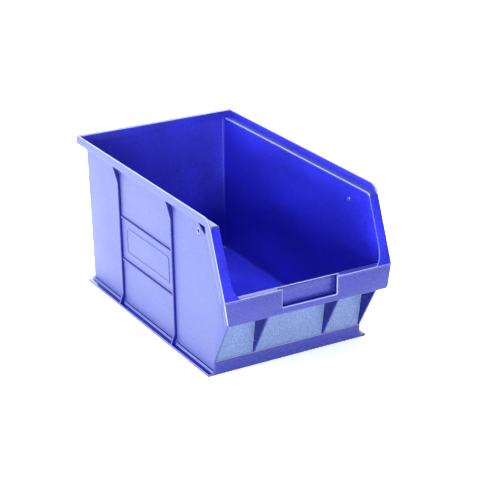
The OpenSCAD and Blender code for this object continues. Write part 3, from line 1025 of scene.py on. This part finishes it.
# faces ahead of the label back take the darker rib copy, painted shade in the window's sides
paint_light_and_shade(pocket, RIB, lambda place, normal: place.y < BACK_IN - 0.1)

# ribs, bars and the front and rim gussets take the darker rib copy, painted shade on their narrow
# faces
grow_row("side_ribs", rib(), RIB, sides("rib_rear", "rib_front"), count=2,
         step=(0, RIB_Y - RIB_FRONT_Y, 0), middle=RIB_FRONT_Y)
grow_row("side_bars", [bar()], RIB, sides("bar_low", "bar_high"), count=2,
         step=(SIDE_TAPER * BAR_RISE / SEAT_LOW, 0, BAR_RISE))
# blank panels and base strips take the paler outer copy, a painted sheen
grow_row("blank_panels", [panel_frame()], OUTER, sides("panel"))
strips = grow_row("base_strips", [base_strip()], OUTER, sides("runner", "plinth"))
# the tops of runner and plinth take the darker rib copy, painted shade under the rim's overhang
paint_light_and_shade(strips, RIB, lambda place, normal: normal.z > 0.9)
grow_row("front_gussets", [front_gusset()], RIB, sides("front_gusset"), count=2,
         step=(-(front_gusset_low.x + front_gusset_high.x), 0, 0), both=False, middle=0.0)
make_piece("rim_gussets", both_sides([rim_gusset()]), RIB, sides("rim_gusset"))

# ---- stage -------------------------------------------------------------------------------


def studio_floor():
    """Wide matt white sweep that the bin stands on, faintly lit from below."""
    material, tree, place = new_material("white_studio_floor")
    paper = add(tree, "ShaderNodeTexNoise", {"Vector": place, "Scale": 300.0, "Detail": 2.0})
    tone = add(tree, "ShaderNodeValToRGB", {"Fac": paper.outputs["Fac"]})
    for stop, code in zip(tone.color_ramp.elements, ("#F4F4F4", "#FBFBFB")):
        stop.color = colour(code)
    shader = add(tree, "ShaderNodeBsdfPrincipled", {
        "Base Color": tone.outputs["Color"], "Roughness": 0.8, "IOR": 1.3,
        "Emission Color": colour("#F4FBFA"), "Emission Strength": 0.7})
    add(tree, "ShaderNodeOutputMaterial", {"Surface": shader.outputs[0]})
    mesh = bpy.data.meshes.new("studio_floor")
    half, drop = 9.0, -0.0003
    mesh.from_pydata([(-half, -half, drop), (half, -half, drop),
                      (half, half, drop), (-half, half, drop)], [], [(0, 1, 2, 3)])
    mesh.materials.append(material)
    make_object("studio_floor", mesh)


def soft_box(name, place, aim, width, height, power, tint="#EEF8F4"):
    """A rectangular studio lamp; places and sizes in metres, power in watts."""
    light = bpy.data.lights.new(name, "AREA")
    light.shape = "RECTANGLE"
    light.size = width
    light.size_y = height
    light.energy = power
    light.color = colour(tint)[:3]
    lamp = make_object(name, light)
    lamp.location = place
    lamp.rotation_euler = (Vector(aim) - Vector(place)).to_track_quat("-Z", "Y").to_euler()


def studio_world(strength):
    """Even pale light from all round."""
    world = bpy.data.worlds.new("studio")
    world.use_nodes = True
    world.node_tree.nodes["Background"].inputs["Color"].default_value = colour("#F7F9FF")
    world.node_tree.nodes["Background"].inputs["Strength"].default_value = strength
    bpy.context.scene.world = world


def place_camera():
    """Three-quarter view from the front left, a little above the rim."""
    azimuth, elevation, roll = (math.radians(a) for a in (-30.125, 22.322, -0.33))
    camera = make_object("camera", bpy.data.cameras.new("camera"))
    camera.data.lens = 113.87
    camera.data.sensor_width = 36.0
    camera.data.clip_end = 50.0
    camera.matrix_world = (
        Matrix.Translation((-0.8093, -1.4453, 0.7571)) @ Matrix.Rotation(azimuth, 4, "Z")
        @ Matrix.Rotation(QUARTER - elevation, 4, "X") @ Matrix.Rotation(roll, 4, "Z"))
    bpy.context.scene.camera = camera


studio_floor()
studio_world(0.15)
soft_box("top", (-0.2, 0.1, 2.2), (0, 0, 0), width=1.5, height=1.5, power=86)
soft_box("key_left", (-1.9, 0.5, 0.52), (0, 0, 0.08), width=2.2, height=0.9, power=97,
         tint="#EEF8F0")
soft_box("front_low", (-0.7, -2.4, 0.28), (0, 0, 0.12), width=1.4, height=0.4, power=66)
soft_box("back_right", (1.3, 2.1, 1.0), (0, 0, 0.12), width=2.4, height=1.4, power=55)
place_camera()
bpy.context.scene.view_settings.view_transform = "Standard"
